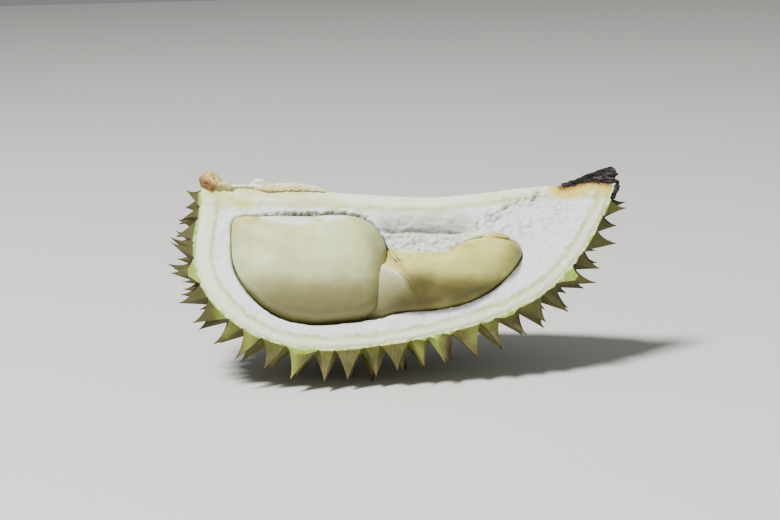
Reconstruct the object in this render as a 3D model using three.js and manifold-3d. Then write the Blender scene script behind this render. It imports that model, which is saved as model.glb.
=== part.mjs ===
// One valve of a durian, opened along its seams and lying on its spiny back: a fifth of the
// husk with the two lumps of flesh that stayed in its front half-chamber. Millimetres, +Z up.
//
// The valve is worked out in the fruit's own frame. The fruit's axis is X, with the stalk end at
// -X. A place is given by x, by its distance r from the axis, and by its angle round the axis in
// degrees, counted from straight down (-Z) towards the front (-Y).
import * as THREE from "three";
import { ConvexHull } from "three/addons/math/ConvexHull.js";
import { mergeVertices } from "three/addons/utils/BufferGeometryUtils.js";
import Module from "manifold-3d";

const wasm = await Module();
wasm.setup();

// ---- driving dimensions, mm and degrees ----
const VALVES = 5; // seams of the fruit, evenly spread
const VALVE_ANGLE = 360 / VALVES;
const FRONT_SEAM = 25; // angle of the open front face
const BACK_SEAM = FRONT_SEAM - VALVE_ANGLE;
const RADIUS = 90.3; // from the axis to the skin at the belly

// The skin's outline along a seam, stalk end to blossom end, as [x, r].
const SKIN = [
  [-101.5, 0],
  [-101.6, 15],
  [-104.2, 35],
  [-100.2, 55],
  [-85, 73.6],
  [-61, 86.2],
  [-34, RADIUS],
  [-2, 87.3],
  [30, 81],
  [60, 71.4],
  [85, 57.2],
  [102.6, 37],
  [114, 16.5],
  [119.4, 4],
  [120.3, 0],
];
// The front edge of the torn core, where the front face stops short of the axis, as [x, r].
const CORE_FRONT = [
  [-130, 1.2],
  [-94, 1.2],
  [-72, 1.8],
  [-46, 3.4],
  [-16, 6],
  [12, 7.8],
  [30, 7.4],
  [50, 5.2],
  [70, 2.7],
  [88, 1.2],
  [130, 1.2],
];
const CORE_BACK_RATIO = 1.75; // the core's back edge lies this much further from the axis

const RIND = 1.2; // the green skin between the spines
const GAP = 0.35; // between pieces that touch
const SEED = 17;

// Spines, from the smallest at the poles to the largest, which stand past FULL_SIZE_RADIUS.
const SPINE_PITCH = [8.4, 13.4];
const SPINE_HEIGHT = [7, 15.2];
const FULL_SIZE_RADIUS = 66;
const ROW_PITCH = 0.92; // distance between rows of spines, in pitches
const STAGGER = 0.26; // sideways step of every other row, half way between seams, in pitches
const SPINE_WANDER = 0.13; // how far a spine strays from its place, in pitches
const HEIGHT_WANDER = 0.12; // how far a height strays, in heights
const SPINE_LEAN = 0.11; // how far a tip strays sideways, in heights
const SPINE_SWEEP = 0.55; // how far the tips at the poles point along the axis, in heights
const SPINE_FLANK = [[0.46, 0.42]]; // [share of the base's width, share of the height]
const SPLIT_SPINES = 0.12; // share of the spines beside a seam that it cuts

// How it lies: the blossom end a little lowered, on a few long spines with worn tips.
const NOSE_DOWN = 1.5; // degrees
const AXIS_HEIGHT = 104.6; // of the fruit's axis over the floor, where x is 0
const MIDDLE = [3.1, 16.6]; // of the valve's length and depth; the part's origin is under it
const FEET = [
  [7, -4],
  [-38, -6.5],
  [-11, 10],
]; // the spines nearest to these places, as [x, angle], reach through to the floor
const WORN = 1.6; // how much a foot's tip has lost

// ---- small geometry helpers ----
const rad = THREE.MathUtils.degToRad;
const place = (x, r, angle) =>
  new THREE.Vector3(x, -r * Math.sin(rad(angle)), -r * Math.cos(rad(angle)));

// A repeatable number from -1 to 1 for a counter.
function wander(n) {
  const wave = Math.sin(n * 127.1 + SEED) * 43758.5453;
  return 2 * (wave - Math.floor(wave)) - 1;
}

const curve = (points) =>
  new THREE.SplineCurve(points.map(([x, y]) => new THREE.Vector2(x, y)));

function toSolid(points, triangles) {
  const vertProperties = new Float32Array(points.flatMap((p) => p.toArray()));
  let volume = 0;
  for (const [a, b, c] of triangles)
    volume += points[a].dot(points[b].clone().cross(points[c]));
  const turned =
    volume < 0 ? triangles.map(([a, b, c]) => [a, c, b]) : triangles;
  const triVerts = new Uint32Array(turned.flat());
  return new wasm.Manifold(
    new wasm.Mesh({ numProp: 3, vertProperties, triVerts }),
  );
}

// A solid through closed rings of points, ended by a fan to a point at each end.
function loft(rings, first, last) {
  const across = rings[0].length;
  const points = [...rings.flat(), first, last];
  const firstIndex = points.length - 2;
  const lastIndex = points.length - 1;
  const end = (rings.length - 1) * across;
  const triangles = [];
  for (let j = 0; j < across; j++) {
    const k = (j + 1) % across;
    for (let i = 0; i + 1 < rings.length; i++) {
      const a = i * across;
      const b = a + across;
      triangles.push([a + j, a + k, b + k], [a + j, b + k, b + j]);
    }
    triangles.push([firstIndex, k, j], [lastIndex, end + j, end + k]);
  }
  return toSolid(points, triangles);
}

const centreOf = (ring) =>
  ring
    .reduce((sum, p) => sum.add(p), new THREE.Vector3())
    .divideScalar(ring.length);
const loftCapped = (rings) =>
  loft(rings, centreOf(rings[0]), centreOf(rings.at(-1)));

// A solid from one of three's own closed shapes.
function fromGeometry(geometry) {
  geometry.deleteAttribute("normal");
  geometry.deleteAttribute("uv");
  const { index, attributes } = mergeVertices(geometry);
  const points = Array.from({ length: attributes.position.count }, (_, i) =>
    new THREE.Vector3().fromBufferAttribute(attributes.position, i),
  );
  const triangles = [];
  for (let i = 0; i < index.count; i += 3)
    triangles.push(Array.from(index.array.slice(i, i + 3)));
  return toSolid(points, triangles);
}

function mesh(name, solid, material) {
  const { numProp, vertProperties, triVerts } = solid.getMesh();
  const geometry = new THREE.BufferGeometry();
  const positions = new THREE.BufferAttribute(vertProperties, numProp);
  geometry.setAttribute("position", positions);
  geometry.setIndex(new THREE.BufferAttribute(triVerts, 1));
  geometry.computeVertexNormals();
  const made = new THREE.Mesh(geometry, material);
  made.name = name;
  return made;
}

// ---- the valve as it lies, in the part's frame ----
const durian = new THREE.Group();
durian.rotation.y = rad(NOSE_DOWN);
durian.position.set(-MIDDLE[0], -MIDDLE[1], AXIS_HEIGHT);
durian.updateMatrixWorld(true);
const heightOf = (p) => p.clone().applyMatrix4(durian.matrixWorld).z;

// ---- the fruit's skin, a surface of revolution about the axis ----
const STEPS = 480;
const profile = curve(SKIN)
  .getPoints(STEPS)
  .map((p) => ({ x: p.x, r: Math.max(p.y, 0) }));
profile.forEach((p, i) => {
  const before = profile[Math.max(i - 1, 0)];
  const after = profile[Math.min(i + 1, STEPS)];
  const run = Math.hypot(after.x - before.x, after.r - before.r);
  p.normal = [-(after.r - before.r) / run, (after.x - before.x) / run];
  p.s = i ? before.s + Math.hypot(p.x - before.x, p.r - before.r) : 0;
});
const profileAt = (s) =>
  profile.find((p) => p.s >= s) ?? profile[profile.length - 1];
const nearestOnProfile = (x, r) =>
  profile.reduce((best, p) =>
    Math.hypot(p.x - x, p.r - r) < Math.hypot(best.x - x, best.r - r)
      ? p
      : best,
  );

// The solid of revolution whose surface lies `depth` under the skin.
function bodyUnderSkin(depth) {
  const RINGS = 34;
  const AROUND = 65;
  const inset = [];
  for (let i = 1; i < RINGS; i++) {
    const p = profileAt((profile.at(-1).s * i) / RINGS);
    const r = p.r - depth * p.normal[1];
    if (r > 1) inset.push([p.x - depth * p.normal[0], r]);
  }
  const ring = ([x, r]) =>
    Array.from({ length: AROUND }, (_, j) => place(x, r, (360 * j) / AROUND));
  return loft(
    inset.map(ring),
    place(profile[0].x + depth, 0, 0),
    place(profile.at(-1).x - depth, 0, 0),
  );
}

// ---- the wedge between the two seams, from the torn core outwards ----
const coreFront = curve(CORE_FRONT).getPoints(20);
function wedge(outset = 0) {
  const reach = RADIUS * 1.6;
  const grown = rad((FRONT_SEAM + BACK_SEAM) / 2);
  const shift = new THREE.Vector3(0, Math.sin(grown), Math.cos(grown));
  shift.multiplyScalar(outset / Math.sin(rad(VALVE_ANGLE / 2)));
  const rings = coreFront.map(({ x, y: r }) =>
    [
      place(x, r, FRONT_SEAM),
      place(x, reach, FRONT_SEAM),
      place(x, reach * 1.2, (FRONT_SEAM + BACK_SEAM) / 2),
      place(x, reach, BACK_SEAM),
      place(x, r * CORE_BACK_RATIO, BACK_SEAM),
    ].map((p) => p.add(shift)),
  );
  return loftCapped(rings);
}

// ---- spines ----
const sizeAt = ([least, most], r) =>
  THREE.MathUtils.lerp(least, most, Math.sin(Math.min(r / FULL_SIZE_RADIUS, 1) * (Math.PI / 2)));

// Where each spine of the whole fruit stands: rows round the axis, each row shared out evenly
// between the seams, with every place a little disturbed.
function spinePlaces() {
  const total = profile.at(-1).s;
  const places = [{ s: 0.01, angle: 0, n: 0, pole: true }];
  let s = SPINE_PITCH[0];
  for (let row = 0; s < total - SPINE_PITCH[0] * 0.8; row++) {
    const { r } = profileAt(s);
    const pitch = sizeAt(SPINE_PITCH, r);
    const arc = (2 * Math.PI * r) / VALVES;
    const columns = Math.max(1, Math.round(arc / pitch));
    const step = VALVE_ANGLE / columns;
    const side = row % 2 ? STAGGER : -STAGGER;
    for (let i = 0; i < columns * VALVES; i++) {
      const n = row * 97 + i;
      const offSeam = Math.sin((Math.PI * ((i % columns) + 0.5)) / columns);
      const across = i + 0.5 + side * offSeam + SPINE_WANDER * wander(n);
      const along = SPINE_WANDER * pitch * wander(n + 0.37);
      const valve = Math.floor(i / columns);
      places.push({ s: s + along, angle: FRONT_SEAM - across * step, n, valve });
    }
    s += pitch * ROW_PITCH;
  }
  places.push({ s: total - 0.01, angle: 0, n: 0, pole: true });
  return places;
}

// Angle-true map of the skin onto a ball, so that a convex hull there finds each spine's
// neighbours.
let isothermal = 0;
profile.forEach((p, i) => {
  if (i) isothermal += (p.s - profile[i - 1].s) / Math.max(p.r, 0.5);
  p.u = isothermal;
});
const equator = nearestOnProfile(0, RADIUS).u;
function onBall({ s, angle }) {
  const polar = 2 * Math.atan(Math.exp(profileAt(s).u - equator));
  return place(-Math.cos(polar), Math.sin(polar), angle);
}

function spinySkin() {
  const length = profile.at(-1).s;
  const spines = spinePlaces().map((spot) => {
    const p = profileAt(spot.s);
    const foot = place(p.x, p.r, spot.angle);
    const out = place(p.normal[0], p.normal[1], spot.angle);
    const round = new THREE.Vector3(1, 0, 0).cross(out).normalize();
    const forward = new THREE.Vector3().crossVectors(out, round);
    const tall = spot.pole
      ? 1
      : sizeAt(SPINE_HEIGHT, p.r) * (1 + HEIGHT_WANDER * wander(spot.n + 0.71));
    const lean = spot.pole ? 0 : SPINE_LEAN * tall;
    const sweep = spot.pole ? 0 : SPINE_SWEEP * tall * ((2 * p.s) / length - 1);
    const tip = foot
      .clone()
      .addScaledVector(out, tall)
      .addScaledVector(round, lean * wander(spot.n + 0.13))
      .addScaledVector(forward, lean * wander(spot.n + 0.59) + sweep);
    const split = wander(spot.n + 0.91) > 1 - 2 * SPLIT_SPINES;
    return { foot, tip, valve: spot.valve, split, ball: onBall(spot), neighbours: new Map() };
  });
  for (const [x, angle] of FEET) {
    const target = place(x, RADIUS, angle);
    const nearest = spines.reduce((best, spine) =>
      spine.tip.distanceTo(target) < best.tip.distanceTo(target) ? spine : best,
    );
    const { foot, tip } = nearest;
    const reach = (heightOf(foot) + WORN) / (heightOf(foot) - heightOf(tip));
    tip.sub(foot).multiplyScalar(reach).add(foot);
  }
  const index = new Map(spines.map(({ ball }, i) => [ball, i]));
  const hull = new ConvexHull().setFromPoints(spines.map((s) => s.ball));
  // A valley point stands between each three neighbours, on the skin. Between two valves it
  // stands on their seam, so that the seam runs between spines, but for a few that it cuts.
  const points = hull.faces.map(({ edge }, f) => {
    const corners = [edge, edge.next, edge.prev];
    const three = corners.map((e) => index.get(e.head().point));
    const valves = new Set(three.map((a) => spines[a].valve).filter((v) => v !== undefined));
    const [first, second] = [...valves].sort();
    const wraps = first === 0 && second === VALVES - 1;
    const seam = FRONT_SEAM - VALVE_ANGLE * (wraps ? 0 : second);
    const onSeam = valves.size === 2 && !three.some((a) => spines[a].split);
    three.forEach((a, i) => {
      const face = { face: f, next: three[(i + 2) % 3] };
      spines[a].neighbours.set(three[(i + 1) % 3], face);
    });
    const middle = centreOf(three.map((a) => spines[a].foot));
    const angle = THREE.MathUtils.radToDeg(Math.atan2(-middle.y, -middle.z));
    const p = nearestOnProfile(middle.x, Math.hypot(middle.y, middle.z));
    return place(p.x, p.r, onSeam ? seam : angle);
  });
  const triangles = [];
  for (const { foot, tip, neighbours } of spines) {
    const valley = [];
    let at = neighbours.keys().next().value;
    while (valley.length < neighbours.size) {
      const { face, next } = neighbours.get(at);
      valley.push(face);
      at = next;
    }
    let below = valley;
    const axis = tip.clone().sub(foot);
    for (const [width, height] of SPINE_FLANK) {
      const ring = valley.map((v) => {
        const flank = foot.clone().lerp(points[v], width);
        points.push(flank.addScaledVector(axis, height));
        return points.length - 1;
      });
      ring.forEach((a, i) => {
        const k = (i + 1) % ring.length;
        triangles.push([below[i], below[k], ring[k]]);
        triangles.push([below[i], ring[k], a]);
      });
      below = ring;
    }
    points.push(tip);
    below.forEach((a, i) =>
      triangles.push([a, below[(i + 1) % below.length], points.length - 1]),
    );
  }
  return toSolid(points, triangles);
}

// ---- rounded lumps and hollows, drawn on a seam's plane ----
// The outline is closed, as [x, r] on the plane. The lump rises `front` out of the plane and
// sinks `back` into the valve, and its deep end slides away from the axis by `slide` of its depth.
function lump({
  seam,
  outline,
  middle,
  front,
  back,
  slide = 0,
  outset = 0,
  around = 36,
  up = 8,
  full = 0.42,
}) {
  const inward = seam === FRONT_SEAM ? 1 : -1;
  const out = place(0, inward, seam + 90);
  const away = place(0, 1, seam);
  const points = outline.map(([x, r]) => new THREE.Vector3(x, r, 0));
  const rim = new THREE.CatmullRomCurve3(points, true, "catmullrom", 0.5);
  const edge = Array.from({ length: around }, (_, j) =>
    rim.getPoint(j / around),
  );
  const at = (q, height) => {
    const depth = Math.max(-height, 0);
    return new THREE.Vector3(q.x, 0, 0)
      .addScaledVector(away, q.y + slide * depth)
      .addScaledVector(out, height);
  };
  const heart = new THREE.Vector3(...middle, 0);
  const rings = [];
  for (let i = 1; i < 2 * up; i++) {
    const tilt = (Math.PI * i) / (2 * up);
    const spread = Math.sin(tilt) ** full;
    const level = Math.cos(tilt);
    const height = level > 0 ? level * (front + outset) : level * (back + outset);
    rings.push(
      edge.map((p) => {
        const ray = p.clone().sub(heart);
        ray.setLength(ray.length() + outset).multiplyScalar(spread);
        return at(ray.add(heart), height);
      }),
    );
  }
  return loft(rings, at(heart, front + outset), at(heart, -back - outset));
}

// The half-chambers that the flesh grew in. The front one is two joined hollows.
const WIDE_CHAMBER = {
  seam: FRONT_SEAM,
  outline: [
    [-85, 33],
    [-84.2, 44],
    [-79.6, 54.6],
    [-72, 64],
    [-60, 72.6],
    [-46, 76.6],
    [-30, 76.8],
    [-8, 73],
    [4, 60],
    [-0.8, 37],
    [-2.4, 29.5],
    [-6, 23.8],
    [-12, 19.6],
    [-19, 17.4],
    [-28, 16.2],
    [-40, 16.8],
    [-54, 16.9],
    [-68, 17.7],
    [-79, 17.7],
    [-84, 19.6],
    [-85.2, 25],
  ],
  middle: [-42, 48],
  front: 24,
  back: 24,
  slide: 0.3,
};
const NARROW_CHAMBER = {
  seam: FRONT_SEAM,
  outline: [
    [-14, 50],
    [-6, 27],
    [12, 24.4],
    [30, 25.4],
    [40, 28.6],
    [51, 29.7],
    [60.6, 30],
    [67.8, 32.6],
    [70.6, 36.8],
    [70.2, 41.2],
    [66, 47.6],
    [55.4, 58],
    [41.6, 65.2],
    [26, 69.2],
    [6, 71],
    [-12, 73.6],
  ],
  middle: [26, 48],
  front: 24,
  back: 22,
  slide: 0.3,
};
const BACK_CHAMBER = {
  seam: BACK_SEAM,
  outline: [
    [-66, 46],
    [-56, 68],
    [-24, 76.5],
    [20, 72],
    [56, 58],
    [68, 43],
    [50, 31],
    [8, 28],
    [-36, 27],
    [-60, 31],
  ],
  middle: [-2, 51],
  front: 24,
  back: 20,
  slide: 0.25,
};
// A pad of torn spongy tissue hangs from the core over the narrow lump of flesh.
const TORN_PAD = {
  seam: FRONT_SEAM,
  outline: [
    [-8, 24],
    [-4, 32],
    [-0.6, 36.4],
    [3.4, 38],
    [16, 38.8],
    [29.6, 38.2],
    [36, 34.8],
    [42, 32.2],
    [50, 30.6],
    [48, 24],
    [40, 19],
    [14, 17],
    [-6, 18],
  ],
  middle: [16, 29],
  front: 0,
  back: 8,
  around: 20,
  up: 4,
};

// The flesh: each lump holds a seed and fills its hollow but for a thin gap.
const WIDE_FLESH = {
  ...WIDE_CHAMBER,
  outline: [
    [-84.2, 33],
    [-83, 43.6],
    [-78, 53.6],
    [-70, 62],
    [-58, 69.8],
    [-45, 73.4],
    [-30, 73.8],
    [-12, 71],
    [-5.2, 63],
    [-4.4, 50],
    [-1.8, 38],
    [-3.8, 30.2],
    [-7.2, 25],
    [-12.8, 21],
    [-19, 18.7],
    [-28, 17.8],
    [-40, 18.5],
    [-54, 18.5],
    [-68, 18.8],
    [-78.4, 18.9],
    [-82.9, 20.8],
    [-84.1, 26],
  ],
  front: 11,
  back: 23.6,
};
const NARROW_FLESH = {
  ...NARROW_CHAMBER,
  outline: [
    [-14, 58],
    [-8, 48],
    [2.6, 45.4],
    [7.6, 39.6],
    [30, 38.4],
    [36.6, 34.9],
    [42, 32.4],
    [51, 31.2],
    [60, 31.6],
    [66.4, 34],
    [69, 37.4],
    [68.5, 41],
    [64.4, 46.8],
    [53.8, 57],
    [40.4, 63.8],
    [26, 67.4],
    [6, 69],
    [-10, 68],
  ],
  middle: [28, 50],
  front: 9,
  back: 21.6,
};

// ---- the two ends of the core ----
const STALK_SCAR = { at: [-96, 0.6, 1.6], size: [6.6, 5.6, 5.4], knobs: 0.12 };
function stalkScar(outset = 0) {
  const ball = new THREE.IcosahedronGeometry(1, 2);
  const position = ball.getAttribute("position");
  const p = new THREE.Vector3();
  const half = new THREE.Vector3(...STALK_SCAR.size).addScalar(outset);
  for (let i = 0; i < position.count; i++) {
    p.fromBufferAttribute(position, i);
    const knob = STALK_SCAR.knobs * Math.sin(5 * p.x + 2) * Math.cos(4 * p.z - 1);
    p.multiplyScalar(1 + knob).multiply(half);
    position.setXYZ(i, ...p.toArray());
  }
  return fromGeometry(ball.translate(...STALK_SCAR.at));
}

// The dried blossom end: a ragged black fin that stands on the last stretch of the core.
const CRUST = { steps: 14, foot: 3.6, rag: 0.45 };
const CRUST_TOP = [
  [92.6, 0.7],
  [97.5, -0.4],
  [104, -4],
  [110, -5.8],
  [119.2, -8.6],
  [121.8, -6.6],
];
const CRUST_THICK = [2.4, 6.4]; // at its thin end and over the pole
function crust(outset = 0) {
  const top = curve(CRUST_TOP).getPoints(CRUST.steps);
  const rings = top.map(({ x, y }, i) => {
    const share = i / CRUST.steps;
    const thick = THREE.MathUtils.lerp(...CRUST_THICK, share) + 2 * outset;
    const beyond = i === 0 ? -outset : i === CRUST.steps ? outset : 0;
    const rag = CRUST.rag * (i % 2 ? 1 : -1) * (0.4 + share);
    const front = new THREE.Vector3(beyond, -outset, 0);
    const crown = place(x, y + rag - outset, FRONT_SEAM).add(front);
    const low = CRUST.foot + outset;
    return [
      crown,
      place(x, low, FRONT_SEAM).add(front),
      place(x, low, BACK_SEAM).sub(front),
      crown.clone().add(new THREE.Vector3(0, thick, rag - share)),
    ];
  });
  return loftCapped(rings);
}

// ---- the pieces ----
const valve = wedge();
const flesh = bodyUnderSkin(RIND + GAP);
const pithBlank = flesh.intersect(valve);
const wide = lump(WIDE_FLESH);
const chambers = lump(WIDE_CHAMBER).add(lump(NARROW_CHAMBER));
const pad = lump(TORN_PAD).intersect(valve);
const pith = pithBlank
  .subtract(chambers)
  .add(pad)
  .subtract(lump({ ...WIDE_FLESH, outset: GAP }))
  .subtract(lump(BACK_CHAMBER));
const narrow = lump(NARROW_FLESH)
  .subtract(lump({ ...WIDE_FLESH, outset: GAP }))
  .subtract(lump({ ...TORN_PAD, outset: GAP }));
const grownBlank = bodyUnderSkin(RIND).intersect(wedge(GAP));
const scar = stalkScar().subtract(grownBlank);
const driedEnd = crust().subtract(grownBlank);
const rind = spinySkin()
  .intersect(valve)
  .subtract(bodyUnderSkin(RIND))
  .subtract(stalkScar(GAP))
  .subtract(crust(GAP));

// Everything under the floor, which wears the feet flat.
function underFloor() {
  const block = new THREE.BoxGeometry(400, 400, 60).translate(0, 0, -30);
  return fromGeometry(block.applyMatrix4(durian.matrixWorld.clone().invert()));
}

// A boolean can shave off a crumb, which no real piece has: only the largest body is kept.
const largest = (solid) =>
  solid.decompose().reduce((a, b) => (b.volume() > a.volume() ? b : a));

const colour = (hex, roughness) =>
  new THREE.MeshStandardMaterial({ color: hex, roughness, metalness: 0 });
const RIND_GREEN = colour(0x77794a, 0.7);
const PITH_WHITE = colour(0xe6e4d6, 0.8);
const FLESH_CREAM = colour(0xd2cda4, 0.45);
const SCAR_TAN = colour(0xc99a5e, 0.8);
const CRUST_BLACK = colour(0x26211f, 0.85);

durian.add(
  mesh("rind", largest(rind.subtract(underFloor())), RIND_GREEN),
  mesh("pith", largest(pith), PITH_WHITE),
  mesh("flesh_wide", largest(wide), FLESH_CREAM),
  mesh("flesh_narrow", largest(narrow), FLESH_CREAM),
  mesh("stalk_scar", largest(scar), SCAR_TAN),
  mesh("dried_tip", largest(driedEnd), CRUST_BLACK),
);

export default durian;
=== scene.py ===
import math

import bmesh
import bpy
import numpy as np
from mathutils import Matrix, Vector, noise


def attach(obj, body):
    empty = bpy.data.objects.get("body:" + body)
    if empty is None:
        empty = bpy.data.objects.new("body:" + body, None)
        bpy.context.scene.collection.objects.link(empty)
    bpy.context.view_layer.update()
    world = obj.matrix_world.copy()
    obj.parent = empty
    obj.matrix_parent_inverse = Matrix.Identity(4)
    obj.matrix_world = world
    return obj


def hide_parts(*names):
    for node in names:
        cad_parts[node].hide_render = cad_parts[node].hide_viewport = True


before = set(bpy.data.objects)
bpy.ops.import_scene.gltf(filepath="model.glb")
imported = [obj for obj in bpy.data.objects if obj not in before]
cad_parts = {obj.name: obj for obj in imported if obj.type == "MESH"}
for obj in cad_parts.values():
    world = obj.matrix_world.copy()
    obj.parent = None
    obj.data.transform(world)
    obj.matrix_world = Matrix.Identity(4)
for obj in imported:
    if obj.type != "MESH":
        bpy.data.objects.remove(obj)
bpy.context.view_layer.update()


# ---- Pith ----
# The husk's thick white wall: spongy tissue that tears apart along the fruit's seams, so the valve
# is a wedge between two flat seam faces. Hollows for the flesh are left in it, and a torn pad of
# the same tissue hangs from the core over the narrow one.
FRONT, BACK = 25, -47  # the two seams, in degrees round the axis from straight down to the front
RADIUS = 90.3
SKIN = [[-101.5, 0], [-101.6, 15], [-104.2, 35], [-100.2, 55], [-85, 73.6], [-61, 86.2],
        [-34, RADIUS], [-2, 87.3], [30, 81], [60, 71.4], [85, 57.2], [102.6, 37], [114, 16.5],
        [119.4, 4], [120.3, 0]]
CORE = [[-130, 1.2], [-94, 1.2], [-72, 1.8], [-46, 3.4], [-16, 6], [12, 7.8], [30, 7.4],
        [50, 5.2], [70, 2.7], [88, 1.2], [130, 1.2]]
CORE_BACK_RATIO = 1.75
RIND = 1.2
WIDE_HOLLOW = dict(
    seam=FRONT, middle=(-42, 48), front=24, back=24, slide=0.3,
    outline=[[-85, 33], [-84.2, 44], [-79.6, 54.6], [-72, 64], [-60, 72.6], [-46, 76.6],
             [-30, 76.8], [-8, 73], [4, 60], [-0.8, 37], [-2.4, 29.5], [-6, 23.8], [-12, 19.6],
             [-19, 17.4], [-28, 16.2], [-40, 16.8], [-54, 16.9], [-68, 17.7], [-79, 17.7],
             [-84, 19.6], [-85.2, 25]])
NARROW_HOLLOW = dict(
    seam=FRONT, middle=(26, 48), front=24, back=22, slide=0.3,
    outline=[[-14, 50], [-6, 27], [12, 24.4], [30, 25.4], [40, 28.6], [51, 29.7], [60.6, 30],
             [67.8, 32.6], [70.5, 36.8], [69.9, 41.2], [65.6, 47.5], [55.1, 57.8], [41.4, 64.9],
             [26, 68.5], [6, 70.4], [-12, 73.2]])
BACK_HOLLOW = dict(
    seam=BACK, middle=(-2, 51), front=24, back=20, slide=0.25,
    outline=[[-66, 46], [-56, 68], [-24, 76.5], [20, 72], [56, 58], [68, 43], [50, 31], [8, 28],
             [-36, 27], [-60, 31]])
TORN_PAD = dict(
    seam=FRONT, middle=(16, 29), front=0, back=8,
    outline=[[-8, 24], [-4, 32], [-0.6, 36.4], [3.4, 38], [16, 38.8], [29.6, 38.2], [36, 34.8],
             [42, 32.2], [50, 30.6], [48, 24], [40, 19], [14, 17], [-6, 18]])
WIDE_FLESH = dict(
    WIDE_HOLLOW, front=13, back=23.6, dome=0.66, middle=(-42, 51),
    outline=[[-84.2, 33], [-83, 43.6], [-78, 53.6], [-70, 62], [-58, 69.8], [-45, 73.4],
             [-30, 73.8], [-12, 71], [-5.2, 63], [-4.4, 50], [-1.8, 38], [-3.6, 30], [-7, 24.8],
             [-12.6, 20.7], [-19, 18.5], [-28, 17.6], [-40, 18.2], [-54, 18.2], [-68, 18.5],
             [-78.6, 18.6], [-83.1, 20.4], [-84.2, 26]])
BURNT_CREST = [[91.5, 1.6], [96.4, 1.6], [100.5, 0.2], [104, -2], [108.2, -3], [112.5, -1.4],
               [116.2, 0], [118.4, -1]]
BURNT_FOOT, BURNT_THICKNESS = [[90, 4.2], [120, 4.2]], (1.6, 4.6)
SKIN_BACKING = 0.25  # how far the pith's body stays under the skin's foot
FLESH_ROOM = 0.6
PITH_SPONGE = 0.00092  # size of the tissue's grain, in metres

# Depths of the two veins, under the skin and under the core's edge, and that edge's roll.
VEIN_DEPTH = [[-105, 10.5], [-92, 9.5], [-75, 7], [-40, 6], [60, 6], [110, 6.5]]
CORE_VEIN_DEPTH = [[-90, 11], [-48, 9], [30, 6.6], [83, 6]]
ROLLED_EDGE = [[-97, 0.5], [-60, 1.2], [-16, 2], [30, 2], [64, 0.9], [94, 0]]
# Lines of damage over the front face, as [x, r].
WRINKLES = [[48, 23], [55, 19], [62, 14], [70, 10], [78, 8]]
FAINT_WRINKLES = [[60, 27], [78, 22], [92, 12]]
TORN_LINE = [[-2, 25.6], [4, 26.2], [11, 25.4], [19, 26.2], [28, 26.4], [37, 27.4]]
RAGGED_LINE = [[-78, 17], [-60, 16.4], [-40, 16.4], [-20, 16.8]]
GAP_LINE = [[-66, 17.8], [-54, 17.2], [-40, 17.2], [-26, 16.6], [-12, 20]]
STAINS = [  # line, width, strength
    ([[-97, 4], [-90, 6], [-83, 9.5], [-77, 12]], 6.5, 1),
    ([[-90, 2.5], [-76, 4.4], [-60, 5], [-46, 5.6]], 4, 0.9),
    ([[-60, 7], [-50, 10], [-38, 8.5], [-26, 11]], 5, 0.6),
]

# The fruit's axis lies along X, the blossom end a little lowered. Sizes are in millimetres in the
# fruit's own frame, and in_fruit and laid_down turn the room's metres into them and back.
NOSE_DOWN = math.radians(1.5)
LIE = np.array([[math.cos(NOSE_DOWN), 0, math.sin(NOSE_DOWN)], [0, 1, 0],
                [-math.sin(NOSE_DOWN), 0, math.cos(NOSE_DOWN)]])
AXIS_AT = np.array([-3.1, -16.6, 104.6])


def laid_down(fruit_mm):
    return (np.asarray(fruit_mm) @ LIE.T + AXIS_AT) / 1000


def in_fruit(room_m):
    return (np.asarray(room_m) * 1000 - AXIS_AT) @ LIE


def place(x, r, angle):
    """The point at x along the axis and r off it, so many degrees round from straight down."""
    turn = np.radians(angle)
    return np.stack(np.broadcast_arrays(x, -r * np.sin(turn), -r * np.cos(turn)), -1) * 1.0


def curve(points, steps, closed=False):
    """A smooth curve through those points, in that many steps."""
    p = np.array(points, float)
    n = len(p)
    t = np.arange(steps if closed else steps + 1) / steps * (n if closed else n - 1)
    i = np.minimum(t.astype(int), n - 1 if closed else n - 2)
    a, b, c, d = (p[(i + k) % n] if closed else p[np.clip(i + k, 0, n - 1)] for k in (-1, 0, 1, 2))
    f = (t - i)[:, None]
    bend, twist = a - 2.5 * b + 2 * c - d / 2, 1.5 * (b - c) + (d - a) / 2
    return b + f * (c - a) / 2 + f**2 * bend + f**3 * twist


skin = curve(SKIN, 480)
skin[:, 1] = np.maximum(skin[:, 1], 0)
along = np.gradient(skin, axis=0)
skin_out = np.stack([-along[:, 1], along[:, 0]], 1) / np.linalg.norm(along, axis=1)[:, None]
skin_length = np.concatenate([[0], np.cumsum(np.linalg.norm(np.diff(skin, axis=0), axis=1))])


def depth_under_skin(fruit_mm):
    at = np.stack([fruit_mm[:, 0], np.hypot(fruit_mm[:, 1], fruit_mm[:, 2])], 1)
    depth = np.empty(len(at))
    for start in range(0, len(at), 4096):
        some = at[start:start + 4096]
        nearest = np.argmin(((some[:, None] - skin[None]) ** 2).sum(2), 1)
        depth[start:start + 4096] = -((some - skin[nearest]) * skin_out[nearest]).sum(1)
    return depth


def set_down(name, data):
    piece = bpy.data.objects.new(name, data)
    bpy.context.scene.collection.objects.link(piece)
    return piece


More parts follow.
